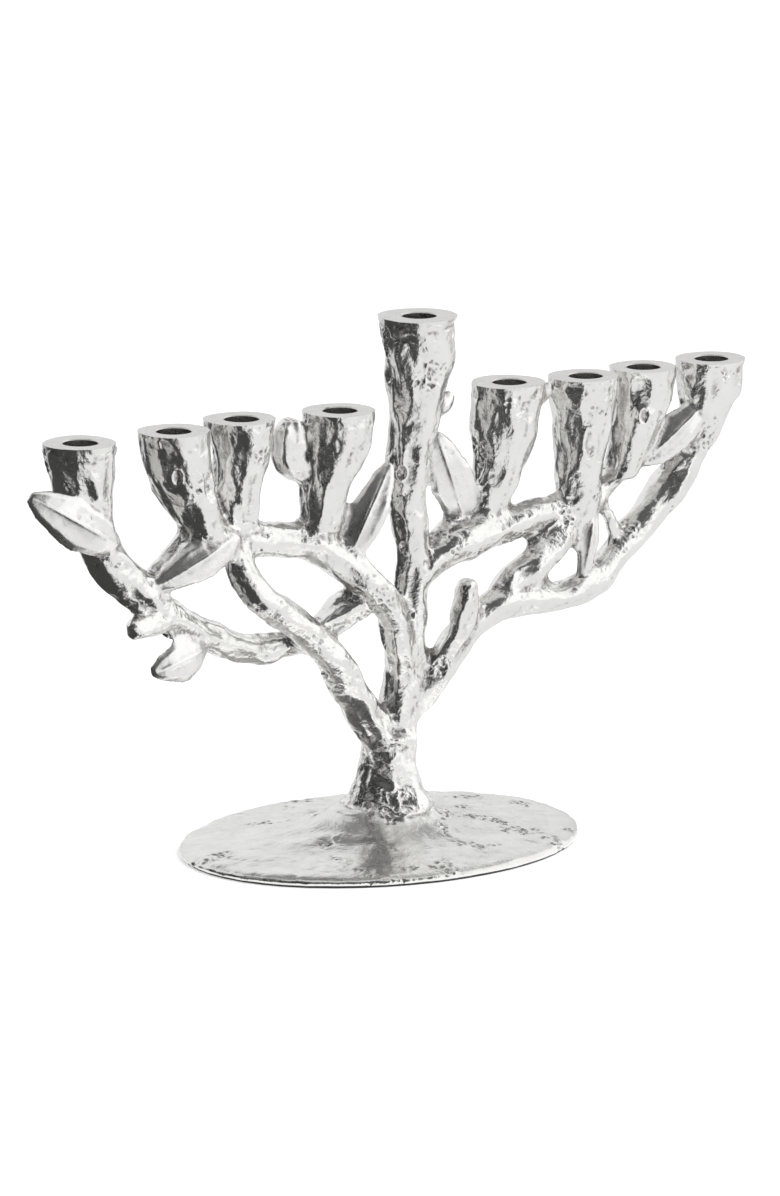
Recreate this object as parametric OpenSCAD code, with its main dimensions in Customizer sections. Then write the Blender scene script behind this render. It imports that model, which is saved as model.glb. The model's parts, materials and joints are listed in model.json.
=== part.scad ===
// Nine-branch candle holder shaped as a small cast tree on an oval plate.
// Nine flared cups stand on the limbs: four on each side and a raised helper cup in the middle.
// Millimetres, +Z up, origin on the table plane under the middle of the base, cups in a row along X.

/* [Cups] */
// Height of the eight side rims above the table
rim_h = 168; // [166:0.5:170]
// Height of the raised helper cup's rim above the table
helper_rim_h = 198.5; // [196:0.5:202]
// Outer diameter of a side cup's rim
rim_d = 27; // [25:0.5:29]
// Outer diameter of the helper cup's rim
helper_rim_d = 30; // [28:0.5:32]
// Diameter of every candle hole, for a 12.7 mm candle
candle_hole_d = 13; // [10:0.1:14]
// Depth of every candle hole
candle_hole_depth = 14; // [10:0.5:15]

/* [Base] */
// Length of the oval plate, along the row of cups
base_length = 159; // [152:1:166]
// Width of the oval plate
base_width = 123; // [116:1:132]
// Turn of the oval about the upright axis, in degrees
base_turn = -3; // [-10:1:10]
// Thickness of the felt pad under the plate
felt_t = 1; // [0.5:0.5:2]
// Thickness of the plate at its edge
lip_t = 2; // [1.5:0.5:3]
// Height of the plate's middle, where the trunk stands on it
boss_h = 15; // [13:1:16]

/* [Tree] */
// Girth of the limbs, as a share of their usual girth
limb_girth = 1; // [0.9:0.05:1.1]
// Depth of the bark's unevenness, as a share of a limb's radius
bark_depth = 0.04; // [0:0.01:0.08]
// Thickness of the thickest leaf at its middle
leaf_t = 5; // [4:0.5:6]

/* [Base screw] */
// Shank diameter of the screw that holds the trunk on the plate
screw_d = 6; // [4:0.5:6]
// Length of the screw's shank
screw_length = 24; // [18:1:28]

/* [Hidden] */

nickel = "silver";
nickel_shade = "lightgray";
cut_clear = 0.5;      // how far a cutting shape passes through the face it opens
limb_sides = 8;
cup_sides = 14;
leaf_sides = 8;
oval_sides = 48;
limb_steps = 2;       // rings from one route point to the next
cup_steps = 1;
felt_share = 0.98;    // the pad's outline, as a share of the plate's
trunk_x = 3.5;        // the trunk and its screw stand a little right of the plate's middle

head_d = 10;
head_h = 3.5;
washer_d = 14;
washer_t = 1.2;
recess_d = 16;
recess_top = 7.5;     // height above the table of the roof of the screw's recess
hole_slack = 0.6;     // clearance hole's diameter over the shank's
thread_slack = 0.1;   // tapped hole's radius over the shank's, standing for the thread
$fn = 48;

// ---- routes of the limbs: [x, y, z, radius] ----
trunk_route = [
    [trunk_x, 0, boss_h, 17.5], [trunk_x, 0, 20, 14.5], [trunk_x, 0, 26, 12],
    [trunk_x, 0, 34, 10.6], [trunk_x, 0, 42, 11.4]
];
stem_route = [
    [6, 0, 39, 6.5], [7, 0, 46, 8], [9, 0, 54, 8], [11, 0, 65, 8], [12, 0, 76, 8],
    [13, 1, 87, 7.5], [15, 2, 99, 7], [16, 2, 112, 7], [14, 2, 125, 7.5], [13, 2, 141, 8.5],
    [15, 1, 153, 9]
];
left_main_route = [
    [1, 0, 37, 6], [-4, -1, 44, 7.5], [-10, -3, 53, 7.5], [-17, -5, 63, 7], [-26, -7, 76, 6.5],
    [-37, -8, 87, 6], [-48, -8, 95, 6], [-57, -7, 103, 6], [-63, -5, 111, 6],
    [-65, -3, 119, 6], [-64, 0, 126, 6]
];
left_upper_route = [
    [11, 0, 62, 6], [8, -3, 70, 7], [4, -5, 82, 6.5], [0, -6, 92, 6], [-9, -6, 102, 6.5],
    [-18, -4, 109.5, 7.3], [-27, -2, 116.5, 7], [-38, 0, 120.5, 7], [-50, 0, 122.5, 7],
    [-62, 0, 125, 6]
];
left_cross_route = [
    [-6, -3, 98, 6], [-13, 0, 93, 7], [-20, 1, 88.5, 7.3], [-28, 1, 84, 6]
];
left_low_route = [
    [-22, 1, 87, 4], [-30, 2, 83, 5.5], [-37, 3, 81, 5.5], [-49, 4, 80, 5.5], [-62, 3, 83, 6],
    [-76, 2, 90, 6], [-90, 0, 97, 6.5], [-102, -1, 107, 7], [-114, -1, 116.5, 8],
    [-121.5, -1, 127, 8], [-126, -1, 137, 7.5]
];
left_neck_route = [
    [-79, -1, 132, 5.5], [-86, 0, 124, 5], [-93, 1, 116, 5], [-100, 1, 110, 5]
];
left_stub_route = [
    [-91, -2, 97, 4], [-98, -4, 98, 4.5], [-105, -6, 98, 4.5], [-112, -8, 98, 4],
    [-115, -9, 98, 2.5]
];
right_upper_route = [
    [14, 1, 96, 5], [19, 0, 101, 5.5], [25, 0, 105.5, 6.5], [33, 0, 109.5, 7], [44, 0, 112.5, 7.4],
    [58, 1, 114.5, 7], [70, 0, 116.5, 6.5], [81, -1, 119, 5.5], [89, -1, 121, 5]
];
right_outer_route = [
    [8, 0, 43, 5], [14, 0, 51, 6.5], [21, -2, 59, 6.5], [28, -4, 70, 6.5], [35, -6, 79, 6],
    [46, -7, 86, 6.5], [60, -7, 87.5, 6.5], [72, -6, 86, 6.5], [84, -5, 86, 6.5], [96, -3, 89.5, 7],
    [107, 0, 98, 6.5], [122, 2, 109.5, 6.8], [133, 2, 120, 7.6], [140, 1, 130, 6.5], [145, 0, 138, 6]
];
right_inner_route = [
    [47, -6, 85, 4.5], [51, -6, 91, 5.8], [57, -6, 95.5, 6.3], [67, -6, 100.5, 6.8],
    [77, -4, 107.5, 6.5], [86, -2, 117, 5]
];
right_top_route = [
    [92, -1, 115, 5], [99, 1, 121, 4.5], [106, 2, 126, 4.5], [115, 3, 131, 4.7],
    [127, 3, 136, 4.5], [139, 2, 139, 4.5], [147, 1, 142, 4]
];
right_link_route = [
    [99, 0, 120, 3], [102, 0, 114, 2.5], [105, -1, 108, 3], [107, -1, 99, 3.5]
];
center_twig_route = [
    [18, 2, 102, 4], [26, 3, 110, 4], [33, 4, 116, 4], [39, 4, 120, 3.5]
];
right_stub_route = [
    [26, -6, 69, 5], [29, -9, 78, 5], [31, -10, 85, 5], [32, -10, 92, 5], [32, -10, 97, 4],
    [32, -10, 99, 2]
];
left_bud_route = [
    [-28, 0, 143, 4], [-36, 1, 147, 6], [-40, 1, 154, 7], [-39, 1, 161, 6.5], [-38, 1, 166, 4.5]
];
helper_bud_route = [
    [21, 0, 160, 3], [27, 0, 163, 4], [30, 0, 166, 3], [32, 0, 168, 1.5]
];
right_bud_route = [
    [68, 2, 157, 2.5], [72, 1, 161, 3], [75, 0, 165, 2.5], [76, 0, 167, 1.5]
];

// ---- cups: middle of the hole and the rim's lift above the common height ----
cup_places = [
    ["cup_left_1", [-130, -1], 0], ["cup_left_2", [-91, -2], 0], ["cup_left_3", [-60, 1], 0.5],
    ["cup_left_4", [-19, -2], -0.5], ["cup_helper", [18, 1], 0], ["cup_right_1", [60, 3], 0.5],
    ["cup_right_2", [92, -1], 0], ["cup_right_3", [120, 1], 0], ["cup_right_4", [151, 0], 0]
];
// Rings of each cup from the limb up: [shift in x, drop below the rim, share of the rim's radius]
cup_rings = [
    [[4, 34, 0.52], [2, 26, 0.7], [1, 19, 0.8], [1, 12, 0.92], [0, 6, 0.95], [-0.5, 0, 1.03]],
    [[14, 40, 0.64], [10, 34, 0.72], [7, 28, 0.78], [4, 22, 0.85], [2, 15, 0.92], [1, 8, 0.97],
        [-0.5, 0, 1]],
    [[-3, 43, 0.5], [-2, 36, 0.56], [-2, 29, 0.62], [-1, 21, 0.7], [0, 14, 0.8], [0, 7, 0.93],
        [-1, 0, 1.02]],
    [[-9, 44, 0.54], [-8, 36, 0.62], [-7, 29, 0.7], [-4, 22, 0.78], [-2, 15, 0.88],
        [-1, 8, 0.96], [-0.5, 0, 1.02]],
    [[-3, 46, 0.6], [-2, 38, 0.66], [-1, 31, 0.7], [-1, 23, 0.78], [-0.5, 15, 0.87], [-0.5, 8, 0.94],
        [-0.5, 0, 1.04]],
    [[-11, 50, 0.44], [-8, 43, 0.54], [-6, 36, 0.68], [-4, 29, 0.81], [-3, 22, 0.9],
        [-2, 14, 0.98], [-1, 7, 1.01], [-0.5, 0, 1.05]],
    [[-4, 54, 0.5], [-3, 46, 0.6], [-3, 38, 0.67], [-2, 28, 0.76], [-1, 18, 0.86],
        [-1, 9, 0.94], [-1, 0, 1.02]],
    [[-12, 42, 0.5], [-8, 35, 0.58], [-5, 27, 0.68], [-3, 20, 0.76], [-1, 13, 0.84],
        [0, 7, 0.88], [-0.5, 0, 0.98]],
    [[-6, 33, 0.46], [-4, 28, 0.52], [-3, 22, 0.66], [-2, 17, 0.78], [-1, 12, 0.9], [-0.5, 6, 0.97],
        [0, 0, 1.03]]
];
helper_cup = 4;

// ---- leaves: [base, tip, way the face looks, half width, share of leaf_t] ----
leaf_end = [[-120, -8, 130], [-155, -7, 152], [-0.4, -0.9, 0.2], 9.5, 1];
leaf_inner = [[-67, -7, 127], [-102, -6, 112], [-0.2, -1, 0.2], 7.5, 1];
leaf_low = [[-79, -3, 85], [-104, -7, 81], [-0.4, -1, 0], 8, 0.9];
leaf_by_stem_left = [[-17, -6, 113], [1, -5, 146], [-0.5, -0.8, 0.1], 7, 0.7];
leaf_by_stem_right = [[40, 3, 117], [26, 2, 153], [-0.3, -0.9, 0], 8.6, 0.8];
leaf_top = [[119, -1, 131], [147, -4, 154], [-0.3, -0.9, 0.3], 7, 0.9];
leaf_hanging = [[93, -3, 120], [87, -6, 90], [-0.2, -1, 0], 4.5, 0.9];
leaf_rings = 7;
leaf_blunt = 0.22;    // width of a leaf's two ends, as a share of its full width

// ---- geometry helpers ----
function unit(v) = v / norm(v);
function place(p) = [p[0], p[1], p[2]];
function spline(a, b, c, d, t) =
    0.5 * (2 * b + (c - a) * t + (2 * a - 5 * b + 4 * c - d) * t * t
        + (3 * b - a - 3 * c + d) * t * t * t);
function smooth_route(p, steps) =
    let (last = len(p) - 1)
    concat(
        [for (i = [0:last - 1], j = [0:steps - 1])
            spline(p[max(i - 1, 0)], p[i], p[i + 1], p[min(i + 2, last)], j / steps)],
        [p[last]]
    );
function heading(route, i) =
    unit(place(route[min(i + 1, len(route) - 1)]) - place(route[max(i - 1, 0)]));
function bark(i, j) = 1 + bark_depth * sin(131 * i + 83 * j);

// One ring of a skin: middle, its two half axes and the number of points.
function ring(middle, a, b, sides, i) =
    [for (j = [0:sides - 1])
        middle + bark(i, j) * (a * cos(360 * j / sides) + b * sin(360 * j / sides))];

// Closes a stack of rings of equal length into one solid.
module skin(rings) {
    n = len(rings[0]);
    m = len(rings);
    points = [for (r = rings, p = r) p];
    walls = [
        for (i = [0:m - 2], j = [0:n - 1])
            let (a = i * n + j, b = i * n + (j + 1) % n)
            each [[a + n, b + n, b], [a + n, b, a]]
    ];
    foot = [for (j = [0:n - 1]) j];
    top = [for (j = [n - 1:-1:0]) (m - 1) * n + j];
    polyhedron(points = points, faces = concat([foot], walls, [top]), convexity = 6);
}

// A round limb along [x, y, z, radius] points.
module limb(points, sides = limb_sides) {
    route = smooth_route(points, limb_steps);
    skin([
        for (i = [0:len(route) - 1])
            let (
                way = heading(route, i),
                across = unit(cross([0, 1, 0], way)),
                r = route[i][3] * limb_girth
            )
            ring(place(route[i]), across * r, cross(way, across) * r, sides, i)
    ]);
}

// A thick leaf: a lens-shaped section that is widest near its middle.
module leaf(shape) {
    base = shape[0];
    tip = shape[1];
    way = unit(tip - base);
    across = unit(cross(shape[2], way));
    face = cross(way, across);
    skin([
        for (i = [0:leaf_rings])
            let (
                t = i / leaf_rings,
                full = leaf_blunt + (1 - leaf_blunt) * pow(sin(180 * pow(t, 0.85)), 0.7),
                arch = 0.06 * norm(tip - base) * sin(180 * t)
            )
            ring(
                base + (tip - base) * t + face * arch,
                across * shape[3] * full,
                face * leaf_t / 2 * shape[4] * sqrt(full),
                leaf_sides, i
            )
    ]);
}

function rim_top(k) = (k == helper_cup ? helper_rim_h : rim_h) + cup_places[k][2];

// Rings of cup k, level from the limb up to the flat rim.
module cup_body(k) {
    at = cup_places[k][1];
    rim_r = (k == helper_cup ? helper_rim_d : rim_d) / 2;
    route = smooth_route(
        [for (c = cup_rings[k]) [at[0] + c[0], at[1], rim_top(k) - c[1], rim_r * c[2]]],
        cup_steps
    );
    skin([
        for (i = [0:len(route) - 1])
            ring(place(route[i]), [route[i][3], 0, 0], [0, route[i][3], 0], cup_sides, i)
    ]);
}

module candle_hole(k) {
    at = cup_places[k][1];
    translate([at[0], at[1], rim_top(k) - candle_hole_depth])
        cylinder(d = candle_hole_d, h = candle_hole_depth + cut_clear);
}

// A cup with its candle hole, cut to sit on what its children draw.
module cup(k) {
    color(nickel)
        difference() {
            cup_body(k);
            candle_hole(k);
            children();
        }
}

// Outline points of the oval plate, drawn at a share of its size.
function oval_ring(share, z) =
    [for (j = [0:oval_sides - 1])
        let (
            a = 360 * j / oval_sides,
            x = base_length / 2 * share * cos(a),
            y = base_width / 2 * share * sin(a)
        )
        [x * cos(base_turn) - y * sin(base_turn), x * sin(base_turn) + y * cos(base_turn), z]];

// ---- base ----
// [share of the plate's outline, height above the lip as a share of the boss's]
plate_rise = [
    [0.94, 0.06], [0.8, 0.13], [0.62, 0.24], [0.46, 0.4], [0.35, 0.6], [0.28, 0.8], [0.24, 1]
];

module felt_pad() {
    color("dimgray")
        linear_extrude(felt_t)
            polygon([for (p = oval_ring(felt_share, 0)) [p[0], p[1]]]);
}

module plate_body() {
    lip_top = felt_t + lip_t;
    skin(concat(
        [oval_ring(0.985, felt_t), oval_ring(1, felt_t + lip_t / 2), oval_ring(0.985, lip_top)],
        [for (p = plate_rise) oval_ring(p[0], lip_top + (boss_h - lip_top) * p[1])]
    ));
}

module base_plate() {
    color(nickel)
        difference() {
            plate_body();
            translate([trunk_x, 0, felt_t - cut_clear])
                cylinder(d = recess_d, h = recess_top - felt_t + cut_clear);
            translate([trunk_x, 0, felt_t])
                cylinder(d = screw_d + hole_slack, h = boss_h);
        }
}

module base_screw() {
    head_low = recess_top - washer_t - head_h;
    color("gray")
        translate([trunk_x, 0, head_low]) {
            cylinder(d = head_d, h = head_h);
            translate([0, 0, head_h])
                cylinder(d = screw_d, h = screw_length);
        }
}

module base_washer() {
    color("darkgray")
        translate([trunk_x, 0, recess_top - washer_t])
            difference() {
                cylinder(d = washer_d, h = washer_t);
                translate([0, 0, -cut_clear])
                    cylinder(d = screw_d + hole_slack, h = washer_t + 2 * cut_clear);
            }
}

// ---- tree ----
module trunk() {
    color(nickel)
        difference() {
            limb(trunk_route, cup_sides);
            translate([trunk_x, 0, boss_h - cut_clear])
                cylinder(r = screw_d / 2 + thread_slack, h = screw_length - 4);
        }
}

// A limb cut to meet the pieces that its children draw.
module fitted(points, shade = nickel) {
    color(shade)
        difference() {
            limb(points);
            children();
        }
}

module fitted_leaf(shape) {
    color(nickel_shade)
        difference() {
            leaf(shape);
            children();
        }
}

module center_stem() {
    fitted(stem_route) limb(trunk_route, cup_sides);
}

module limb_left_main() {
    fitted(left_main_route) {
        limb(trunk_route, cup_sides);
        limb(stem_route);
    }
}

module limb_left_upper() {
    fitted(left_upper_route) {
        limb(stem_route);
        limb(left_main_route);
    }
}

module limb_left_cross() {
    fitted(left_cross_route, nickel_shade) {
        limb(left_main_route);
        limb(left_upper_route);
    }
}

module limb_left_low() {
    fitted(left_low_route) {
        limb(left_main_route);
        limb(left_cross_route);
    }
}

module twig_left_neck() {
    fitted(left_neck_route, nickel_shade) {
        limb(left_low_route);
        cup_body(1);
    }
}

module stub_left() {
    fitted(left_stub_route, nickel_shade) limb(left_low_route);
}

module limb_right_upper() {
    fitted(right_upper_route) limb(stem_route);
}

module limb_right_outer() {
    fitted(right_outer_route) {
        limb(trunk_route, cup_sides);
        limb(stem_route);
        limb(left_upper_route);
    }
}

module limb_right_inner() {
    fitted(right_inner_route) {
        limb(right_outer_route);
        limb(right_upper_route);
    }
}

module limb_right_top() {
    fitted(right_top_route) {
        limb(right_outer_route);
        limb(right_upper_route);
        cup_body(6);
    }
}

module twig_right_link() {
    fitted(right_link_route, nickel_shade) {
        limb(right_outer_route);
        limb(right_top_route);
        cup_body(6);
    }
}

module twig_center_leaf() {
    fitted(center_twig_route, nickel_shade) {
        limb(stem_route);
        limb(right_upper_route);
    }
}

module stub_right() {
    fitted(right_stub_route, nickel_shade) limb(right_outer_route);
}

module bud_left() {
    fitted(left_bud_route, nickel_shade) cup_body(3);
}

module bud_helper() {
    fitted(helper_bud_route, nickel_shade) cup_body(4);
}

module bud_right() {
    fitted(right_bud_route, nickel_shade) cup_body(5);
}

// ---- cups ----
module cup_left_1() {
    cup(0) limb(left_low_route);
}
module cup_left_2() {
    cup(1) {
        limb(left_main_route);
        limb(left_upper_route);
    }
}
module cup_left_3() {
    cup(2) {
        limb(left_main_route);
        limb(left_upper_route);
        cup_body(1);
    }
}
module cup_left_4() {
    cup(3) limb(left_upper_route);
}
module cup_helper() {
    cup(4) limb(stem_route);
}
module cup_right_1() {
    cup(5) limb(right_upper_route);
}
module cup_right_2() {
    cup(6) {
        limb(right_upper_route);
        limb(right_inner_route);
    }
}
module cup_right_3() {
    cup(7) limb(right_top_route);
}
module cup_right_4() {
    cup(8) {
        limb(right_outer_route);
        limb(right_top_route);
    }
}

// ---- leaves ----
module leaf_left_end() {
    fitted_leaf(leaf_end) {
        limb(left_low_route);
        cup_body(0);
    }
}
module leaf_left_inner() {
    fitted_leaf(leaf_inner) {
        limb(left_main_route);
        limb(left_upper_route);
        limb(left_low_route);
        limb(left_neck_route);
        cup_body(1);
    }
}
module leaf_left_low() {
    fitted_leaf(leaf_low) limb(left_low_route);
}
module leaf_stem_left() {
    fitted_leaf(leaf_by_stem_left) {
        limb(left_upper_route);
        limb(stem_route);
    }
}
module leaf_stem_right() {
    fitted_leaf(leaf_by_stem_right) {
        limb(right_upper_route);
        limb(center_twig_route);
        cup_body(4);
    }
}
module leaf_right_top() {
    fitted_leaf(leaf_top) {
        limb(right_top_route);
        cup_body(7);
        cup_body(8);
    }
}
module leaf_right_hanging() {
    fitted_leaf(leaf_hanging) {
        limb(right_outer_route);
        limb(right_upper_route);
        limb(right_inner_route);
        limb(right_top_route);
        cup_body(6);
    }
}

felt_pad();
base_plate();
base_screw();
base_washer();
trunk();
center_stem();
limb_left_main();
limb_left_upper();
limb_left_cross();
limb_left_low();
twig_left_neck();
stub_left();
limb_right_upper();
limb_right_outer();
limb_right_inner();
limb_right_top();
twig_right_link();
twig_center_leaf();
stub_right();
cup_left_1();
cup_left_2();
cup_left_3();
cup_left_4();
cup_helper();
cup_right_1();
cup_right_2();
cup_right_3();
cup_right_4();
leaf_left_end();
leaf_left_inner();
leaf_left_low();
leaf_stem_left();
leaf_stem_right();
leaf_right_top();
leaf_right_hanging();
bud_left();
bud_helper();
bud_right();
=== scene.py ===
import json
import math

import bpy
import numpy as np
import openvdb
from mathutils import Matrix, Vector
from mathutils.bvhtree import BVHTree


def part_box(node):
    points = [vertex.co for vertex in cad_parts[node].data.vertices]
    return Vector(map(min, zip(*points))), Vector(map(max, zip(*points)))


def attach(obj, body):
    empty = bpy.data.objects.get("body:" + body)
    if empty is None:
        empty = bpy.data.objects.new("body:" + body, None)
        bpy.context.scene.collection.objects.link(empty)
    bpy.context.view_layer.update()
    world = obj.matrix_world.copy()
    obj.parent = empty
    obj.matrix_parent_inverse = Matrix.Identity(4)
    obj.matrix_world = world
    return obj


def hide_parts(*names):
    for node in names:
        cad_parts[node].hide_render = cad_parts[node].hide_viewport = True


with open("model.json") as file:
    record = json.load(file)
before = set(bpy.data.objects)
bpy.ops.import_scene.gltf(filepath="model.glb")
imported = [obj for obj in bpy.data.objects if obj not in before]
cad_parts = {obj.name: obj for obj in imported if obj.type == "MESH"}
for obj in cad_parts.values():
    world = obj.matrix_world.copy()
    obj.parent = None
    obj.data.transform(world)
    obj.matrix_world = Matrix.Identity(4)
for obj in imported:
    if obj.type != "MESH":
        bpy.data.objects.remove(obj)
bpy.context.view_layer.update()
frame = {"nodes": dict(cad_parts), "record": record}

# All geometry is worked out in millimetres and written to the meshes in metres.
MM = 0.001
VOXEL = 0.6            # grid of the fused skin
FILLET = 2.4           # radius that the casting leaves in every inside corner
RIM_SPARE = 4.0        # the cups are cast this much too high, then ground flat
LEAF_SPARE = 0.35      # the leaves' thin edges are cast this much fuller
VIEW_TURN = 33.6       # the camera stands this many degrees round from the front, towards -X
VIEW_RISE = 13.12      # and looks down by this many degrees
VIEW_DISTANCE = 2.8    # metres from its target
FLOOR_RADIUS = 1.1     # metres
FLOOR_SIDES = 96
CARD_INSIDE, CARD_OUTSIDE = 0.095, 3.0  # metres
SKY = 0.85             # brightness of the sky outside its patches
RIM_MARGIN = 20        # a cup's relief fades within this distance of its hole, in mm

TREE = [n for n in frame["nodes"] if n not in ("felt_pad", "base_screw", "base_washer")]
LEAVES = [n for n in TREE if n.startswith("leaf_")]
CUPS = [n for n in TREE if n.startswith("cup_")]
record = frame["record"]
slot_of = {s["node"]: s["material_slot"] for s in record["subparts"]}


def hole(cup):
    """Middle of a cup's hole at the rim, and its depth, in mm."""
    mount = next(m for m in record["mounts"] if m["name"] == cup.replace("cup_", "candle_"))
    depth = mount["dims"]["length_mm"]
    x, y, z = (1000 * v for v in mount["pos_m"])
    return np.array([x, y, z + depth / 2]), depth, mount["dims"]["r_mm"]


def node_mesh(name):
    """Vertices in mm and triangles of a CAD node."""
    mesh = frame["nodes"][name].data
    co = np.empty(len(mesh.vertices) * 3, np.float32)
    mesh.vertices.foreach_get("co", co)
    mesh.calc_loop_triangles()
    tris = np.empty(len(mesh.loop_triangles) * 3, np.int32)
    mesh.loop_triangles.foreach_get("vertices", tris)
    return co.reshape(-1, 3) * 1000, tris.reshape(-1, 3)


def box_mm(name):
    low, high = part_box(name)
    return np.array(low) * 1000, np.array(high) * 1000


# ---------------------------------------------------------------- camera
target = Vector((0.0, 0.0, 0.09))
turn, rise = math.radians(VIEW_TURN), math.radians(VIEW_RISE)
back = Vector((-math.sin(turn) * math.cos(rise), -math.cos(turn) * math.cos(rise), math.sin(rise)))
cam_data = bpy.data.cameras.new("camera")
cam = bpy.data.objects.new("camera", cam_data)
bpy.context.scene.collection.objects.link(cam)
cam.location = target + back * VIEW_DISTANCE
cam.rotation_mode = "QUATERNION"
cam.rotation_quaternion = (-back).to_track_quat("-Z", "Y")
cam_data.sensor_width = 36
cam_data.lens = 227.1
cam_data.shift_x = 0.0083
cam_data.shift_y = 0.0084
cam_data.clip_start, cam_data.clip_end = 0.05, 50
bpy.context.scene.camera = cam


# ---------------------------------------------------------------- noise
class Noise:
    """Smooth gradient noise on a random lattice, about -1 to 1."""

    def __init__(self, seed):
        rng = np.random.default_rng(seed)
        g = rng.normal(size=(32, 32, 32, 3)).astype(np.float32)
        self.g = (g / np.linalg.norm(g, axis=3, keepdims=True)).reshape(-1, 3)
        self.shift = rng.uniform(0, 32, 3).astype(np.float32)

    def __call__(self, p, scale):
        q = p.astype(np.float32) / scale + self.shift
        i = np.floor(q).astype(np.int32)
        f = q - i
        u = f * f * f * (f * (f * 6 - 15) + 10)
        out = np.zeros(len(p), np.float32)
        for dx in (0, 1):
            wx = u[:, 0] if dx else 1 - u[:, 0]
            for dy in (0, 1):
                wy = u[:, 1] if dy else 1 - u[:, 1]
                for dz in (0, 1):
                    wz = u[:, 2] if dz else 1 - u[:, 2]
                    k = (((i[:, 0] + dx) & 31) * 32 + ((i[:, 1] + dy) & 31)) * 32 + ((i[:, 2] + dz) & 31)
                    g = self.g[k]
                    dot = g[:, 0] * (f[:, 0] - dx) + g[:, 1] * (f[:, 1] - dy) + g[:, 2] * (f[:, 2] - dz)
                    out += wx * wy * wz * dot
        return out * 1.6


def drawn_out(noise, p, scale, axis, reach, steps=5):
    """Noise averaged along a direction, so that its marks are long that way."""
    total = sum(noise(p + axis * t, scale) for t in np.linspace(-reach, reach, steps))
    return total / math.sqrt(steps)


class Cells:
    """Distance to the nearest of many scattered points, one in each cell of a grid."""

    def __init__(self, seed):
        self.pts = np.random.default_rng(seed).uniform(0.1, 0.9, (16, 16, 16, 3)).astype(np.float32)

    def __call__(self, p, scale):
        q = p.astype(np.float32) / scale
        i = np.floor(q).astype(np.int32)
        f = q - i
        best = np.full(len(p), 9.0, np.float32)
        for dx in (-1, 0, 1):
            for dy in (-1, 0, 1):
                for dz in (-1, 0, 1):
                    c = self.pts[(i[:, 0] + dx) & 15, (i[:, 1] + dy) & 15, (i[:, 2] + dz) & 15]
                    d = c + np.array([dx, dy, dz], np.float32) - f
                    np.minimum(best, (d * d).sum(1), out=best)
        return np.sqrt(best)


def smoothstep(x, a, b):
    t = np.clip((x - a) / (b - a), 0, 1)
    return t * t * (3 - 2 * t)


# ---------------------------------------------------------------- the fused casting
def tube(x, y, radius, low, high, sides=48):
    """A closed cylinder for filling or cutting, as vertices and triangles."""
    return turned(x, y, [(radius, low), (radius, high)], sides)


def turned(x, y, profile, sides=48):
    """A closed solid of revolution through (radius, height) points, bottom first."""
    a = np.arange(sides) * 2 * math.pi / sides
    rings = [np.stack([x + r * np.cos(a), y + r * np.sin(a), np.full(sides, z)], 1) for r, z in profile]
    v = np.concatenate(rings + [[[x, y, profile[0][1]]], [[x, y, profile[-1][1]]]])
    foot, top, n = len(v) - 2, len(v) - 1, sides
    tris = []
    for k in range(len(profile) - 1):
        for j in range(n):
            a0, b0 = k * n + j, k * n + (j + 1) % n
            tris += [(a0, b0, b0 + n), (a0, b0 + n, a0 + n)]
    last = (len(profile) - 1) * n
    for j in range(n):
        tris += [(foot, (j + 1) % n, j), (top, last + j, last + (j + 1) % n)]
    return v.astype(np.float32), np.array(tris, np.int32)


def joined(parts):
    """Several (vertices, triangles) as one."""
    verts, tris, count = [], [], 0
    for v, t in parts:
        verts.append(v)
        tris.append(t + count)
        count += len(v)
    return np.concatenate(verts), np.concatenate(tris)


def fuller(v, t, by):
    """The closed mesh with every point moved outward."""
    _, first_of, same_as = np.unique(v.round(2), axis=0, return_index=True, return_inverse=True)
    same_as = same_as.ravel()
    fn = np.cross(v[t[:, 1]] - v[t[:, 0]], v[t[:, 2]] - v[t[:, 0]])
    n = np.zeros((len(first_of), 3))
    for k in range(3):
        for c in range(3):
            n[:, c] += np.bincount(same_as[t[:, k]], fn[:, c], len(n))
    n /= np.linalg.norm(n, axis=1, keepdims=True) + 1e-9
    return (v + by * n[same_as]).astype(np.float32)


screw_low, screw_high = box_mm("base_screw")
screw_x, screw_y = (screw_low + screw_high)[:2] / 2
felt_top = box_mm("felt_pad")[1][2]
washer_top = box_mm("base_washer")[1][2]
plate_top = box_mm("base_plate")[1][2]

sources = []
for name in TREE:
    v, t = node_mesh(name)
    if name in CUPS:
        rim, depth, radius = hole(name)
        v[v[:, 2] > rim[2] - 0.05, 2] += RIM_SPARE
        sources.append(tube(rim[0], rim[1], radius + 0.8, rim[2] - depth - 1, rim[2] + RIM_SPARE - 0.3))
    if name == "base_plate":
        v[v[:, 2] < felt_top + 0.05, 2] -= 2
    if name in LEAVES:
        v = fuller(v, t, LEAF_SPARE)
    sources.append((v, t))
sources.append(tube(screw_x, screw_y, 9, felt_top - 1.5, screw_high[2] + 6))
verts, tris = joined(sources)

grid_scale = openvdb.createLinearTransform(VOXEL)
wide = FILLET / VOXEL + 2
union = openvdb.FloatGrid.createLevelSetFromPolygons(
    np.ascontiguousarray(verts, np.float32), triangles=np.ascontiguousarray(tris, np.uint32),
    transform=grid_scale, exBandWidth=wide, inBandWidth=wide)
points, _, quads = union.convertToPolygons(FILLET, 0)
level = openvdb.FloatGrid.createLevelSetFromPolygons(
    points, quads=quads, transform=grid_scale, exBandWidth=3, inBandWidth=wide + 2)
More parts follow.
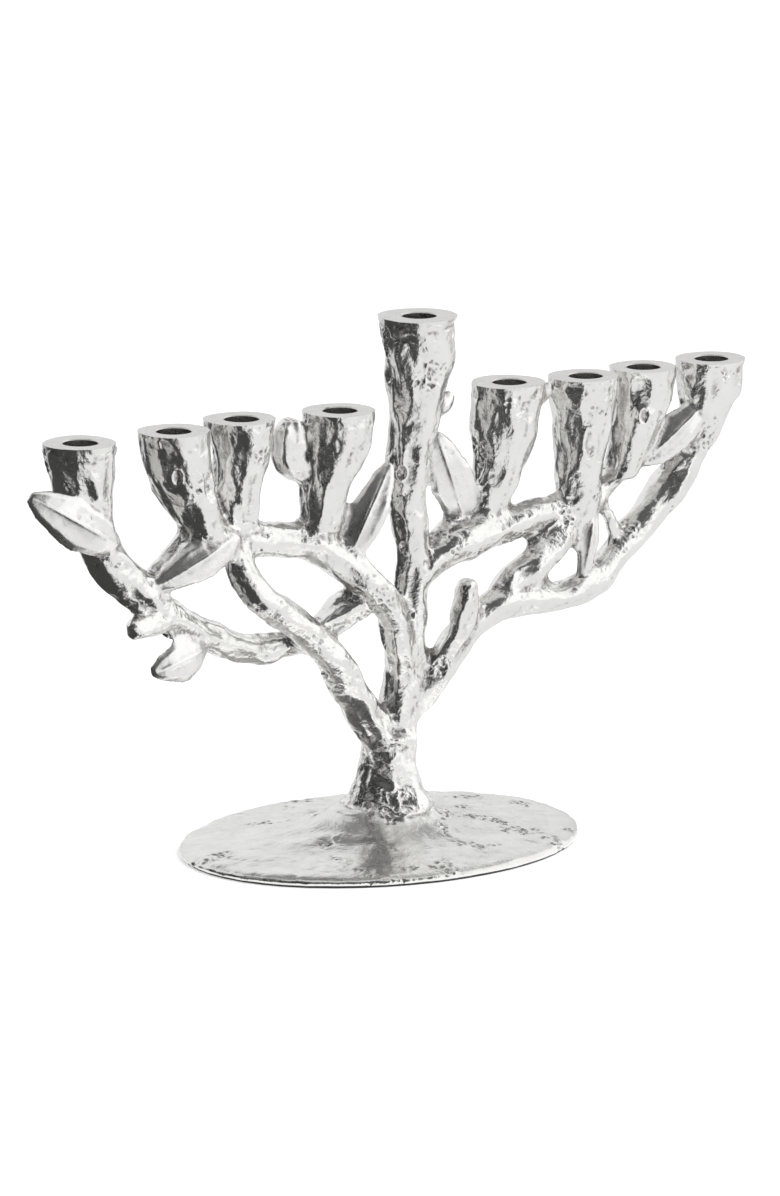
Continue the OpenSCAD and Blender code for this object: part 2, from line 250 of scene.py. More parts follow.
# Near the rims the cups stay apart, so the fillets fade out below them.
rim_z = min(hole(c)[0][2] for c in CUPS)
low_ijk = [int(math.floor(x / VOXEL)) - 6 for x in (*verts.min(0)[:2], rim_z - 30)]
high_ijk = [int(math.ceil(x / VOXEL)) + 6 for x in (verts[:, 0].max(), 26, verts[:, 2].max())]
low_ijk[1] = int(-26 / VOXEL)
shape = [h - l for l, h in zip(low_ijk, high_ijk)]
plain, filled = np.empty(shape, np.float32), np.empty(shape, np.float32)
union.copyToArray(plain, ijk=low_ijk)
level.copyToArray(filled, ijk=low_ijk)
height = (np.arange(shape[2]) + low_ijk[2]) * VOXEL
fade = smoothstep(height, rim_z - 26, rim_z - 14).astype(np.float32)
level.copyFromArray(filled * (1 - fade) + (plain - FILLET) * fade, ijk=low_ijk)
points, _, quads = level.convertToPolygons(-FILLET, 0)
del level, union, plain, filled


def links(faces, n):
    """Each edge of the faces once, as two index arrays."""
    k = faces.shape[1]
    a = np.concatenate([faces[:, i] for i in range(k)]).astype(np.int64)
    b = np.concatenate([faces[:, (i + 1) % k] for i in range(k)]).astype(np.int64)
    key = np.unique(np.minimum(a, b) * n + np.maximum(a, b))
    return key // n, key % n


def components(n, a, b):
    """The lowest member of each item's connected group."""
    root = np.arange(n)
    while True:
        ra, rb = root[a], root[b]
        m = ra != rb
        if not m.any():
            return root
        np.minimum.at(root, np.maximum(ra[m], rb[m]), np.minimum(ra[m], rb[m]))
        while True:
            up = root[root]
            if (up == root).all():
                break
            root = up


# The outside is the largest connected skin; closed voids left inside are dropped.
quads = quads.astype(np.int64)
ea, eb = links(quads, len(points))
root = components(len(points), ea, eb)
outer = np.bincount(root).argmax()
quads = quads[root[quads[:, 0]] == outer]
used = np.unique(quads)
renumber = np.full(len(points), -1)
renumber[used] = np.arange(len(used))
points_at, skin_quads = points[used].astype(np.float64), renumber[quads]
ea, eb = links(skin_quads, len(points_at))
degree = np.bincount(ea, minlength=len(points_at)) + np.bincount(eb, minlength=len(points_at))


def neighbours(x):
    """Mean over each vertex's neighbours."""
    x2 = x.reshape(len(x), -1)
    out = np.empty_like(x2)
    for c in range(x2.shape[1]):
        out[:, c] = (np.bincount(ea, x2[eb, c], len(x2)) + np.bincount(eb, x2[ea, c], len(x2))) / degree
    return out.reshape(x.shape)


def normals(p):
    d1, d2 = p[skin_quads[:, 2]] - p[skin_quads[:, 0]], p[skin_quads[:, 3]] - p[skin_quads[:, 1]]
    fn = np.cross(d1, d2)
    out = np.zeros_like(p)
    for c in range(3):
        for k in range(4):
            out[:, c] += np.bincount(skin_quads[:, k], fn[:, c], len(p))
    return out / np.linalg.norm(out, axis=1, keepdims=True)


# Which CAD node every point of the skin belongs to.
owner_v, owner_t, owner_of = [], [], []
count = 0
for index, name in enumerate(TREE):
    v, t = node_mesh(name)
    owner_v.append(v)
    owner_t.append(t + count)
    owner_of += [index] * len(t)
    count += len(v)
owner_of = np.array(owner_of)
owner_tree = BVHTree.FromPolygons(
    np.concatenate(owner_v).tolist(), np.concatenate(owner_t).tolist(), all_triangles=True)


def owners(p):
    find = owner_tree.find_nearest
    return owner_of[np.fromiter((find(q)[2] for q in p.tolist()), np.int64, len(p))]


def share_of(nodes, own, rounds):
    """1 on these nodes and 0 elsewhere, blurred over the skin."""
    wanted = np.isin(own, [TREE.index(n) for n in nodes]).astype(np.float64)
    for _ in range(rounds):
        wanted = neighbours(wanted)
    return wanted


own = owners(points_at)
leafy = share_of(LEAVES, own, 3)
soft = 0.55 * (1 - 0.8 * leafy)[:, None]
for _ in range(16):
    points_at += soft * (neighbours(points_at) - points_at)
skin_normals = normals(points_at)
from_middle = ((points_at - points_at.mean(0)) * skin_normals).sum(1).mean()
if (skin_normals[:, 2] * (points_at[:, 2] - 90)).mean() < 0 and from_middle < 0:
    skin_normals, skin_quads = -skin_normals, skin_quads[:, ::-1]
leafy = share_of(LEAVES, own, 5)
platy = share_of(["base_plate"], own, 6)
barky = np.clip(1 - leafy - platy, 0, 1)

# Direction of growth: the way in which the normals nearby vary least.
CELL = 4.0
lo = points_at.min(0) - 3 * CELL
dims = np.ceil((points_at.max(0) - lo) / CELL).astype(int) + 4
cell = np.floor((points_at - lo) / CELL).astype(int)
flat = (cell[:, 0] * dims[1] + cell[:, 1]) * dims[2] + cell[:, 2]
tensor = np.empty((*dims, 6))
for k, (i, j) in enumerate(((0, 0), (0, 1), (0, 2), (1, 1), (1, 2), (2, 2))):
    t = np.bincount(flat, skin_normals[:, i] * skin_normals[:, j], dims.prod()).reshape(dims)
    for _ in range(3):
        for ax in range(3):
            t = (np.roll(t, 1, ax) + 2 * t + np.roll(t, -1, ax)) / 4
    tensor[..., k] = t
six = tensor[cell[:, 0], cell[:, 1], cell[:, 2]]
full = six[:, [0, 1, 2, 1, 3, 4, 2, 4, 5]].reshape(-1, 3, 3)
axis = np.linalg.eigh(full)[1][:, :, 0]
radial = points_at - np.array([screw_x, screw_y, 0])
radial[:, 2] = 0
radial /= np.linalg.norm(radial, axis=1, keepdims=True) + 1e-9
axis = np.where((platy > 0.5)[:, None], radial, axis)

big, mid, grain, spots, wander = (Noise(seed) for seed in (11, 12, 13, 14, 15))
pits = Cells(21)
bead_cells = Cells(22)
lumps = big(points_at, 19.0)
warp = np.stack([wander(points_at, 3.6), mid(points_at + 7, 3.6), spots(points_at + 13, 3.6)], 1)
beads = smoothstep(lumps, -0.3, 0.3) * (0.45 - bead_cells(points_at + 1.8 * warp, 5.5))
facets = 0.35 - np.sqrt(drawn_out(mid, points_at, 10.5, axis, 7.0) ** 2 + 0.006)
dents = drawn_out(wander, points_at, 5.5, axis, 4.0)
creases = drawn_out(grain, points_at, 2.6, axis, 4.5)
where = smoothstep(spots(points_at, 13.0) + 0.3 * wander(points_at, 4.0), 0.34, 0.6)
pocks = np.clip(0.66 - pits(points_at + 0.7 * np.stack([grain(points_at, 1.7)] * 3, 1), 2.3), 0, 1) / 0.66
scars = where * (smoothstep(pocks, 0.1, 0.8) - 0.35 * smoothstep(creases, 0.0, 0.3))
near_rim = np.ones(len(points_at))
for cup in CUPS:
    rim = hole(cup)[0]
    close = np.hypot(points_at[:, 0] - rim[0], points_at[:, 1] - rim[1]) < RIM_MARGIN
    near_rim[close] *= 1 - 0.75 * smoothstep(points_at[close, 2], rim[2] - 3.5, rim[2] - 0.5)
tree_relief = near_rim * (
    0.85 * lumps + 1.1 * facets + 0.45 * dents + 0.12 * creases + 0.5 * beads - 0.8 * scars)
leaf_relief = 0.18 * lumps + 0.06 * dents + 0.12 * beads - 0.2 * scars
plate_relief = (0.55 * lumps + 0.25 * mid(points_at, 11.0) + 0.12 * facets + 0.14 * dents + 0.05 * creases
                + 0.2 * beads - 0.8 * scars)
relief = barky * tree_relief + leafy * leaf_relief + platy * plate_relief


# ---- marks at chosen places: knots and the leaves' midribs
front = np.array([-math.sin(turn), -math.cos(turn), 0.0])
side = np.array([math.cos(turn), -math.sin(turn), 0.0])
skin_tree = BVHTree.FromPolygons(points_at.tolist(), skin_quads.tolist())


def spot(node, across, up):
    """The point on the front of a node, at shares -1 to 1 across and 0 to 1 up its box."""
    low, high = box_mm(node)
    mid_point = (low + high) / 2
    half = (abs(side[0]) * (high - low)[0] + abs(side[1]) * (high - low)[1]) / 2
    start = mid_point + side * half * across + front * 120
    start[2] = low[2] + (high[2] - low[2]) * up
    hit = skin_tree.ray_cast(Vector(start), Vector(-front))[0]
    return np.array(hit)


def add_knot(node, across, up, wide, tall, depth):
    """An oval scar of a cut twig: a raised ring round a hollow."""
    c = spot(node, across, up)
    d = points_at - c
    r = np.sqrt((d @ side / wide) ** 2 + (d[:, 2] / tall) ** 2 + (np.minimum(0, d @ front + 4) / 2) ** 2)
    near = (np.abs(d @ front) < 9)
    relief[:] += near * (0.5 * depth * np.exp(-((r - 1) / 0.22) ** 2) - depth * np.exp(-((r / 0.72) ** 4)))


for args in (
    ("center_stem", -0.05, 0.88, 1.9, 3.0, 0.9),
    ("center_stem", 0.0, 0.62, 1.8, 2.6, 0.8),
    ("center_stem", 0.15, 0.4, 1.5, 2.2, 0.5),
    ("cup_right_2", 0.1, 0.55, 2.6, 6.5, 0.7),
    ("cup_right_3", 0.1, 0.6, 2.0, 3.2, 0.8),
    ("cup_left_2", -0.1, 0.62, 2.0, 3.0, 0.6),
):
    add_knot(*args)

for name in LEAVES:
    v, _ = node_mesh(name)
    c = v.mean(0)
    w = np.linalg.eigh(np.cov((v - c).T))[1]
    long_way, face_way = w[:, 2], w[:, 0]
    cross_way = np.cross(long_way, face_way)
    d = points_at - c
    along, off = d @ long_way, d @ cross_way
    half = np.abs((v - c) @ long_way).max()
    wide = np.abs((v - c) @ cross_way).max()
    s = np.clip(np.abs(along) / half, 0, 1)
    mine = smoothstep(share_of([name], own, 3), 0.3, 0.8)
    rib = np.exp(-((off / 0.6) ** 2)) * (1 - s ** 4)
    halves = np.sin(math.pi * np.clip(np.abs(off) / wide, 0, 1)) * (1 - s ** 2)
    relief += mine * (0.3 * rib - 0.45 * halves)

carved = points_at + skin_normals * relief[:, None]
carved += 0.15 * (neighbours(carved) - carved)


# ---------------------------------------------------------------- ground and drilled faces
def new_mesh(name, v, faces):
    mesh = bpy.data.meshes.new(name)
    mesh.vertices.add(len(v))
    mesh.vertices.foreach_set("co", np.asarray(v, np.float32).ravel())
    k = faces.shape[1]
    mesh.loops.add(faces.size)
    mesh.loops.foreach_set("vertex_index", faces.astype(np.int32).ravel())
    mesh.polygons.add(len(faces))
    mesh.polygons.foreach_set("loop_start", np.arange(0, faces.size, k, dtype=np.int32))
    mesh.update(calc_edges=True)
    return mesh


def box_solid(low, high):
    v = np.array([[x, y, z] for z in (low[2], high[2]) for y in (low[1], high[1]) for x in (low[0], high[0])])
    t = np.array([[0, 2, 3], [0, 3, 1], [4, 5, 7], [4, 7, 6], [0, 1, 5], [0, 5, 4], [2, 6, 7], [2, 7, 3],
                  [0, 4, 6], [0, 6, 2], [1, 3, 7], [1, 7, 5]])
    return v.astype(np.float32), t


def slab(cup):
    rim = hole(cup)[0]
    reach = 20 if cup == "cup_helper" else 17.2
    return tube(rim[0], rim[1], reach, rim[2], rim[2] + 9)


def drill(cup):
    rim, depth, r = hole(cup)
    return turned(rim[0], rim[1], [(r, rim[2] - depth), (r, rim[2] - 0.4), (r + 2.4, rim[2] + 2)], 64)


reach = 100
below = box_solid((-reach, -reach, felt_top - 8), (reach, reach, felt_top))
order = sorted(CUPS, key=lambda c: hole(c)[0][0])
first = joined([slab(c) for c in order[::2]])
second = joined([slab(c) for c in order[1::2]] + [below])
recess = turned(screw_x, screw_y, [
    (8, felt_top - 2), (8, washer_top), (3.3, washer_top + 0.01), (3.3, plate_top),
    (3.1, plate_top + 0.01), (3.1, screw_high[2] + 4)])
third = joined([drill(c) for c in order] + [recess])

body_mat = bpy.data.materials.new("cast")
cut_mat = bpy.data.materials.new("ground")
body = bpy.data.objects.new("casting", new_mesh("casting", carved, skin_quads))
body.data.materials.append(body_mat)
bpy.context.scene.collection.objects.link(body)
for v, t in (first, second, third):
    cutter = bpy.data.objects.new("cutter", new_mesh("cutter", v, t))
    cutter.data.materials.append(cut_mat)
    bpy.context.scene.collection.objects.link(cutter)
    mod = body.modifiers.new("cut", "BOOLEAN")
    mod.operation, mod.object, mod.solver = "DIFFERENCE", cutter, "MANIFOLD"
    mod.material_mode = "TRANSFER"
    evaluated = body.evaluated_get(bpy.context.evaluated_depsgraph_get())
    cut = bpy.data.meshes.new_from_object(evaluated)
    body.modifiers.clear()
    body.data = cut
    bpy.data.objects.remove(cutter)
skin = body.data
bpy.data.objects.remove(body)

skin.calc_loop_triangles()
cut_tris = np.empty(len(skin.loop_triangles) * 3, np.int32)
skin.loop_triangles.foreach_get("vertices", cut_tris)
cut_tris = cut_tris.reshape(-1, 3).astype(np.int64)
triangle_polygon = np.empty(len(skin.loop_triangles), np.int32)
skin.loop_triangles.foreach_get("polygon_index", triangle_polygon)
mat_index = np.empty(len(skin.polygons), np.int32)
skin.polygons.foreach_get("material_index", mat_index)
ground_id = [m.name for m in skin.materials].index("ground")
ground = mat_index[triangle_polygon] == ground_id
ca, cb = links(cut_tris, len(skin.vertices))
root = components(len(skin.vertices), ca, cb)
whole = root[cut_tris[:, 0]] == np.bincount(root).argmax()
cut_tris, ground = cut_tris[whole], ground[whole]
cut_points = np.empty(len(skin.vertices) * 3, np.float32)
skin.vertices.foreach_get("co", cut_points)
cut_points = cut_points.reshape(-1, 3).astype(np.float64)

# Corner normals: smooth over the casting, crisp where a ground face meets it.
first_corner = cut_points[cut_tris[:, 0]]
tri_n = np.cross(cut_points[cut_tris[:, 1]] - first_corner, cut_points[cut_tris[:, 2]] - first_corner)
area = np.linalg.norm(tri_n, axis=1)
cast_n = np.zeros_like(cut_points)
for k in range(3):
    for c in range(3):
        cast_n[:, c] += np.bincount(cut_tris[~ground, k], tri_n[~ground, c], len(cut_points))
cast_n /= np.linalg.norm(cast_n, axis=1, keepdims=True) + 1e-12
flat_n = tri_n / (area[:, None] + 1e-12)
corner_n = cast_n[cut_tris]
corner_n[ground] = flat_n[ground][:, None, :]
wall = ground & (np.abs(flat_n[:, 2]) < 0.2)
centres = np.array([[hole(c)[0][0], hole(c)[0][1]] for c in order] + [[screw_x, screw_y]])
for x, y in centres:
    d = cut_points[cut_tris] - np.array([x, y, 0])
    d[..., 2] = 0
    r = np.linalg.norm(d, axis=2)
    m = wall & (r.max(1) < 9)
    corner_n[m] = -d[m] / (r[m][..., None] + 1e-9)

# ---------------------------------------------------------------- split by CAD node
centre = cut_points[cut_tris].mean(1)
own_t = owners(centre)
edge_a = np.concatenate([cut_tris[:, 0], cut_tris[:, 1], cut_tris[:, 2]])
edge_b = np.concatenate([cut_tris[:, 1], cut_tris[:, 2], cut_tris[:, 0]])
key = np.minimum(edge_a, edge_b) * len(cut_points) + np.maximum(edge_a, edge_b)
order_k = np.argsort(key, kind="stable")
face_k = np.tile(np.arange(len(cut_tris)), 3)[order_k]
same = key[order_k][1:] == key[order_k][:-1]
fa, fb = face_k[:-1][same], face_k[1:][same]
for _ in range(3):
    keep = own_t[fa] == own_t[fb]
    group = components(len(cut_tris), fa[keep], fb[keep])
    size = np.bincount(group, minlength=len(cut_tris))
    largest = {k: size[group[own_t == k]].max() for k in np.unique(own_t)}
    small = size[group] < 0.12 * np.array([largest.get(k, 1) for k in range(len(TREE))])[own_t]
    cross_e = ~keep
    for x, y in ((fa[cross_e], fb[cross_e]), (fb[cross_e], fa[cross_e])):
        m = small[x] & ~small[y]
        target_own = np.full(len(cut_tris), -1)
        target_own[group[x[m]]] = own_t[y[m]]
        hit = small & (target_own[group] >= 0)
        own_t[hit] = target_own[group][hit]
        small[hit] = False

lap = np.zeros_like(cut_points)
deg = np.bincount(edge_a, minlength=len(cut_points)).astype(float)
for c in range(3):
    around = np.bincount(edge_a, cut_points[edge_b, c], len(cut_points)) / np.maximum(deg, 1)
    lap[:, c] = around - cut_points[:, c]
cavity = (lap * cast_n).sum(1)
for _ in range(2):
    cavity = 0.5 * cavity + 0.5 * np.bincount(edge_a, cavity[edge_b], len(cut_points)) / np.maximum(deg, 1)
hollow = smoothstep(cavity, 0.004, 0.035)
crest = smoothstep(-cavity, 0.005, 0.04)


def piece_mesh(name, faces):
    """The named part of the skin as a closed mesh: hidden caps close it where it meets its neighbours."""
    tri, cn = cut_tris[faces], corner_n[faces]
    ids, flat_tri = np.unique(tri, return_inverse=True)
    tri = flat_tri.reshape(-1, 3)
    v = cut_points[ids]
    a = np.concatenate([tri[:, 0], tri[:, 1], tri[:, 2]])
    b = np.concatenate([tri[:, 1], tri[:, 2], tri[:, 0]])
    forward = a * len(v) + b
    open_edge = ~np.isin(b * len(v) + a, forward)
    oa, ob = a[open_edge], b[open_edge]
    caps, extra = np.zeros((0, 3), np.int64), np.zeros((0, 3))
    if len(oa):
        loop = components(len(v), oa, ob)
        rim_ids = np.unique(np.concatenate([oa, ob]))
        inner_of = np.full(len(v), -1)
        inner_of[rim_ids] = len(v) + np.arange(len(rim_ids))
        n = cast_n[ids][rim_ids]
        inner = v[rim_ids] - 0.7 * n
        loops = np.unique(loop[rim_ids])
        middle_of = {}
        middles = []
        for k, l in enumerate(loops):
            mask = loop[rim_ids] == l
            middles.append((v[rim_ids][mask] - 1.5 * n[mask]).mean(0))
            middle_of[l] = len(v) + len(rim_ids) + k
        mid_ids = np.array([middle_of[l] for l in loop[oa]])
        caps = np.concatenate([
            np.stack([ob, oa, inner_of[oa]], 1), np.stack([ob, inner_of[oa], inner_of[ob]], 1),
            np.stack([inner_of[ob], inner_of[oa], mid_ids], 1)])
        extra = np.concatenate([inner, np.array(middles)])
    all_v = np.concatenate([v, extra]) * MM
    all_t = np.concatenate([tri, caps])
    mesh = new_mesh(name, all_v, all_t)
    mesh.polygons.foreach_set("use_smooth", np.ones(len(all_t), bool))
    mat = np.concatenate([ground[faces].astype(np.int32), np.zeros(len(caps), np.int32)])
    for label, values in (("hollow", hollow), ("crest", crest)):
        layer = mesh.attributes.new(label, "FLOAT", "POINT")
        with_caps = np.concatenate([values[ids], np.zeros(len(extra))])
        layer.data.foreach_set("value", with_caps.astype(np.float32))
    split = np.concatenate([cn.reshape(-1, 3), np.zeros((len(caps) * 3, 3))])
    return mesh, mat, split


# ---------------------------------------------------------------- materials
def nodes_of(name):
    mat = bpy.data.materials.new(name)
    mat.use_nodes = True
    tree = mat.node_tree
    shader = tree.nodes["Principled BSDF"]
    coords = tree.nodes.new("ShaderNodeTexCoord")
    return mat, tree, shader, coords.outputs["Object"]


def noise_node(tree, vector, size_mm, detail=3.0, rough=0.5, warp=0.0):
    n = tree.nodes.new("ShaderNodeTexNoise")
    n.inputs["Scale"].default_value = 1000.0 / size_mm
    n.inputs["Detail"].default_value = detail
    n.inputs["Roughness"].default_value = rough
    n.inputs["Distortion"].default_value = warp
    tree.links.new(vector, n.inputs["Vector"])
    return n.outputs["Fac"]


def remap(tree, value, a, b, lo, hi):
    n = tree.nodes.new("ShaderNodeMapRange")
    for k, x in zip(("From Min", "From Max", "To Min", "To Max"), (a, b, lo, hi)):
        n.inputs[k].default_value = x
    tree.links.new(value, n.inputs["Value"])
    return n.outputs["Result"]


def math_node(tree, op, a, b, clamp=False):
    n = tree.nodes.new("ShaderNodeMath")
    n.operation, n.use_clamp = op, clamp
    for k, x in enumerate((a, b)):
        if isinstance(x, (int, float)):
            n.inputs[k].default_value = x
        else:
            tree.links.new(x, n.inputs[k])
    return n.outputs[0]


def mix_colour(tree, fac, a, b):
    n = tree.nodes.new("ShaderNodeMix")
    n.data_type = "RGBA"
    tree.links.new(fac, n.inputs["Factor"])
    for k, x in ((6, a), (7, b)):
        if isinstance(x, tuple):
            n.inputs[k].default_value = (*x, 1)
        else:
            tree.links.new(x, n.inputs[k])
    return n.outputs[2]


def bump(tree, shader, layers):
    """Bump layers of (height, depth in mm), one on another."""
    last = None
    for height, depth in layers:
        n = tree.nodes.new("ShaderNodeBump")
        n.inputs["Strength"].default_value = 1.0
        n.inputs["Distance"].default_value = depth * MM
        tree.links.new(height, n.inputs["Height"])
        if last is not None:
            tree.links.new(last, n.inputs["Normal"])
        last = n.outputs["Normal"]
    tree.links.new(last, shader.inputs["Normal"])


def nickel(name, bright, patina, rough_lo, rough_hi, grain_mm, fine_mm):
    """Polished nickel plate over a casting: patchy gloss, grey in the hollows, bright on the crests."""
    mat, tree, shader, co = nodes_of(name)
    shader.inputs["Metallic"].default_value = 1.0
    hol = tree.nodes.new("ShaderNodeAttribute")
    hol.attribute_name = "hollow"
    cre = tree.nodes.new("ShaderNodeAttribute")
    cre.attribute_name = "crest"
    patch = noise_node(tree, co, 9, 4, 0.6)
    speck = noise_node(tree, co, 0.9, 2, 0.6)
    dirt = math_node(tree, "MULTIPLY", hol.outputs["Fac"], remap(tree, speck, 0.35, 0.65, 0.25, 1.0))
    tone = mix_colour(tree, remap(tree, patch, 0.3, 0.7, 0.0, 1.0), bright, tuple(0.93 * c for c in bright))
    colour = mix_colour(tree, math_node(tree, "MULTIPLY", dirt, 0.85, True), tone, patina)
    tree.links.new(colour, shader.inputs["Base Color"])
    rough = remap(tree, patch, 0.3, 0.72, rough_lo, rough_hi)
    rough = math_node(tree, "ADD", rough, math_node(tree, "MULTIPLY", dirt, 0.25))
    rough = math_node(tree, "SUBTRACT", rough, math_node(tree, "MULTIPLY", cre.outputs["Fac"], 0.04), True)
    tree.links.new(rough, shader.inputs["Roughness"])
    grain = noise_node(tree, co, 1.6, 3, 0.55, 0.4)
    fine = noise_node(tree, co, 0.45, 2, 0.6)
    wave = noise_node(tree, co, 4.5, 2, 0.5, 0.2)
    bump(tree, shader, ((wave, grain_mm * 2.5), (grain, grain_mm), (fine, fine_mm)))
    return mat


def ground_nickel():
    """Flat ground faces: the rims and the holes, with fine turning marks."""
    mat, tree, shader, co = nodes_of("ground_nickel")
    shader.inputs["Metallic"].default_value = 1.0
    patch = noise_node(tree, co, 6, 3, 0.6)
    scratch = noise_node(tree, co, 0.5, 4, 0.7)
    tone = mix_colour(tree, remap(tree, patch, 0.3, 0.7, 0, 1), (0.70, 0.695, 0.675), (0.62, 0.615, 0.60))
    tree.links.new(tone, shader.inputs["Base Color"])
    tree.links.new(remap(tree, scratch, 0.3, 0.7, 0.2, 0.32), shader.inputs["Roughness"])
    bump(tree, shader, ((patch, 0.03), (scratch, 0.012)))
    return mat


looks = {
    "bark_nickel": nickel("bark_nickel", (0.88, 0.877, 0.857), (0.12, 0.118, 0.11), 0.07, 0.24, 0.2, 0.04),
    "cup_nickel": nickel("cup_nickel", (0.88, 0.877, 0.857), (0.12, 0.118, 0.11), 0.07, 0.25, 0.2, 0.04),
    "leaf_nickel": nickel("leaf_nickel", (0.90, 0.897, 0.88), (0.25, 0.247, 0.24), 0.20, 0.34, 0.05, 0.02),
    "plate_nickel": nickel("plate_nickel", (0.82, 0.818, 0.798), (0.22, 0.217, 0.21), 0.14, 0.30, 0.12, 0.03),
}
ground_mat = ground_nickel()

for index, name in enumerate(TREE):
    faces = np.nonzero(own_t == index)[0]
    mesh, mat, split = piece_mesh("cast_" + name, faces)
    mesh.materials.append(looks[slot_of[name]])
    mesh.materials.append(ground_mat)
    mesh.polygons.foreach_set("material_index", mat)
    mesh.normals_split_custom_set(split.astype(np.float32).tolist())
    obj = bpy.data.objects.new("cast_" + name, mesh)
    bpy.context.scene.collection.objects.link(obj)
    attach(obj, "root")
    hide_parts(name)
bpy.data.meshes.remove(skin)


# ---------------------------------------------------------------- felt, screw and washer
def felt():
    mat, tree, shader, co = nodes_of("wool_felt")
    fibre = noise_node(tree, co, 0.35, 4, 0.8, 1.5)
    cloud = noise_node(tree, co, 7, 3, 0.6)
    tone = mix_colour(tree, remap(tree, cloud, 0.3, 0.7, 0, 1), (0.022, 0.022, 0.024), (0.045, 0.045, 0.048))
    tree.links.new(mix_colour(tree, remap(tree, fibre, 0.45, 0.75, 0, 1), tone, (0.11, 0.11, 0.115)),
                   shader.inputs["Base Color"])
    tree.links.new(remap(tree, fibre, 0.3, 0.7, 0.85, 1.0), shader.inputs["Roughness"])
    shader.inputs["Sheen Weight"].default_value = 0.4
    bump(tree, shader, ((cloud, 0.15), (fibre, 0.12)))
    return mat


def zinc(name, tint):
    mat, tree, shader, co = nodes_of(name)
    shader.inputs["Metallic"].default_value = 1.0
    spangle = noise_node(tree, co, 2.5, 2, 0.5, 1.0)
    streak = noise_node(tree, co, 0.4, 4, 0.7)
    darker = tuple(0.8 * c for c in tint)
    tone = mix_colour(tree, remap(tree, spangle, 0.35, 0.65, 0, 1), tint, darker)
    tree.links.new(tone, shader.inputs["Base Color"])
    tree.links.new(remap(tree, streak, 0.3, 0.7, 0.25, 0.45), shader.inputs["Roughness"])
    bump(tree, shader, ((streak, 0.02),))
    return mat


for name, mat in (("felt_pad", felt()), ("base_screw", zinc("screw_zinc", (0.55, 0.55, 0.56))),
                  ("base_washer", zinc("washer_zinc", (0.62, 0.62, 0.6)))):
    obj = frame["nodes"][name]
    obj.data.materials.clear()
    obj.data.materials.append(mat)

# ---------------------------------------------------------------- floor and light
floor_mesh = bpy.data.meshes.new("floor")
angles = [k * math.pi / 48 for k in range(FLOOR_SIDES)]
ring = [(FLOOR_RADIUS * math.cos(a), FLOOR_RADIUS * math.sin(a), 0) for a in angles]
floor_mesh.from_pydata(ring, [], [tuple(range(FLOOR_SIDES))])
floor = bpy.data.objects.new("floor", floor_mesh)
bpy.context.scene.collection.objects.link(floor)
floor_mat, tree, shader, co = nodes_of("paper")
shader.inputs["Base Color"].default_value = (0.92, 0.92, 0.92, 1)
shader.inputs["Roughness"].default_value = 0.9
shader.inputs["Emission Color"].default_value = (1, 1, 1, 1)
shader.inputs["Emission Strength"].default_value = 0.42
floor_mesh.materials.append(floor_mat)

world = bpy.data.worlds.new("studio")
bpy.context.scene.world = world
world.use_nodes = True
wt = world.node_tree
wt.nodes.clear()
out = wt.nodes.new("ShaderNodeOutputWorld")
mixer = wt.nodes.new("ShaderNodeMixShader")
path = wt.nodes.new("ShaderNodeLightPath")
seen = wt.nodes.new("ShaderNodeBackground")
seen.inputs["Color"].default_value = (1, 1, 1, 1)
seen.inputs["Strength"].default_value = 1.1
lit = wt.nodes.new("ShaderNodeBackground")
wt.links.new(path.outputs["Is Camera Ray"], mixer.inputs[0])
wt.links.new(lit.outputs[0], mixer.inputs[1])
wt.links.new(seen.outputs[0], mixer.inputs[2])
wt.links.new(mixer.outputs[0], out.inputs[0])
wco = wt.nodes.new("ShaderNodeTexCoord").outputs["Generated"]


def toward(azimuth, elevation):
    """A direction, azimuth counted from the camera's side, positive to its right."""
    a, e = math.radians(azimuth), math.radians(elevation)
    flat_dir = front * math.cos(a) + side * math.sin(a)
    return (flat_dir[0] * math.cos(e), flat_dir[1] * math.cos(e), math.sin(e))


def glow(azimuth, elevation, inner, outer):
    """1 inside a round patch of the sky and 0 outside it, soft between."""
    dot = wt.nodes.new("ShaderNodeVectorMath")
    dot.operation = "DOT_PRODUCT"
    wt.links.new(wco, dot.inputs[0])
    dot.inputs[1].default_value = toward(azimuth, elevation)
    n = wt.nodes.new("ShaderNodeMapRange")
    n.interpolation_type = "SMOOTHSTEP"
    n.inputs["From Min"].default_value = math.cos(math.radians(outer))
    n.inputs["From Max"].default_value = math.cos(math.radians(inner))
    wt.links.new(dot.outputs["Value"], n.inputs["Value"])
    return n.outputs["Result"]


tone = None
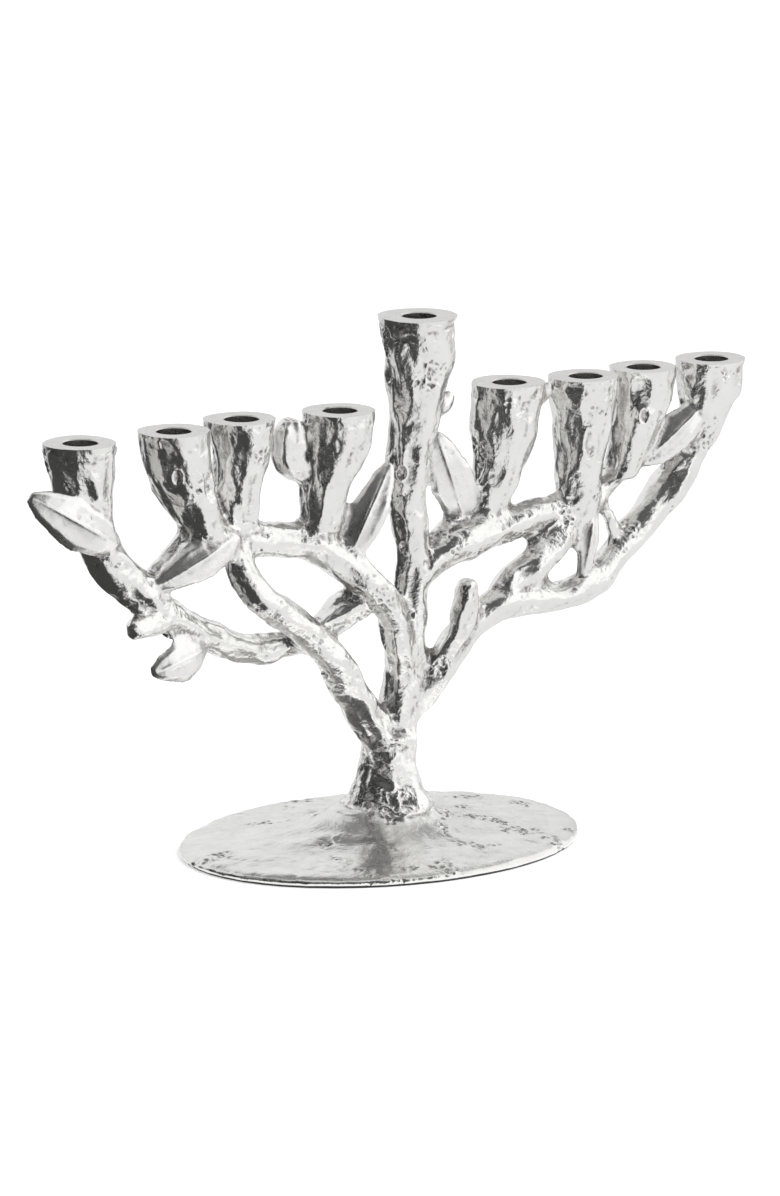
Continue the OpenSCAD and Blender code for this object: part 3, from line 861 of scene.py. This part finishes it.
# Round patches of the sky: azimuth, elevation, where each begins and stops fading (degrees), brightness.
for azimuth, elevation, inner, outer, value in (
    (90, 20, 50, 72, 1.45),
    (-150, 30, 30, 50, 1.15),
    (0, 90, 20, 45, 0.9),
    (180, 58, 12, 24, 0.3),
    (-55, 8, 46, 60, 0.05),
    (-12, 24, 22, 36, 0.05),
    (-62, 34, 8, 14, 0.5),
    (-30, 0, 3, 7, 0.6),
    (20, 38, 20, 36, 0.14),
):
    g = glow(azimuth, elevation, inner, outer)
    n = wt.nodes.new("ShaderNodeMix")
    n.data_type = "FLOAT"
    wt.links.new(g, n.inputs["Factor"])
    if tone is None:
        n.inputs[2].default_value = SKY
    else:
        wt.links.new(tone, n.inputs[2])
    n.inputs[3].default_value = value
    tone = n.outputs[0]
wt.links.new(tone, lit.inputs["Strength"])

def card(name, first, last, grey, height):
    """A card on the floor round the plate, seen only in reflections, from one azimuth to another."""
    mesh = bpy.data.meshes.new(name)
    steps = 24
    inside, outside = [], []
    for k in range(steps + 1):
        d = np.array(toward(first + (last - first) * k / steps, 0))
        inside.append(tuple(CARD_INSIDE * d + np.array([0, 0, height])))
        outside.append(tuple(CARD_OUTSIDE * d + np.array([0, 0, height])))
    mesh.from_pydata(inside + outside, [], [(k, k + 1, steps + 2 + k, steps + 1 + k) for k in range(steps)])
    obj = bpy.data.objects.new(name, mesh)
    bpy.context.scene.collection.objects.link(obj)
    mat, _, shader, _ = nodes_of(name)
    shader.inputs["Base Color"].default_value = (grey, grey, grey, 1)
    shader.inputs["Roughness"].default_value = 0.8
    mesh.materials.append(mat)
    obj.visible_camera = obj.visible_diffuse = obj.visible_shadow = obj.visible_transmission = False


# A black card at the front left gives the metal its dark side, and a grey one its half tones.
card("black_card", -125, 2, 0.05, 0.0008)
card("grey_card", 2, 235, 0.95, 0.0006)


def softbox(name, azimuth, elevation, distance, size, power):
    """A square lamp that lights the scene but isn't seen in the metal."""
    data = bpy.data.lights.new(name, "AREA")
    data.shape, data.size, data.energy = "SQUARE", size, power
    lamp = bpy.data.objects.new(name, data)
    bpy.context.scene.collection.objects.link(lamp)
    d = Vector(toward(azimuth, elevation))
    lamp.location = Vector((0, 0, 0.1)) + d * distance
    lamp.rotation_mode = "QUATERNION"
    lamp.rotation_quaternion = d.to_track_quat("Z", "Y")
    lamp.visible_glossy = False


softbox("key", 60, 55, 1.6, 1.0, 8)
softbox("top", -60, 75, 1.6, 1.2, 5)

scene = bpy.context.scene
scene.view_settings.view_transform = "Standard"
scene.view_settings.look = "None"
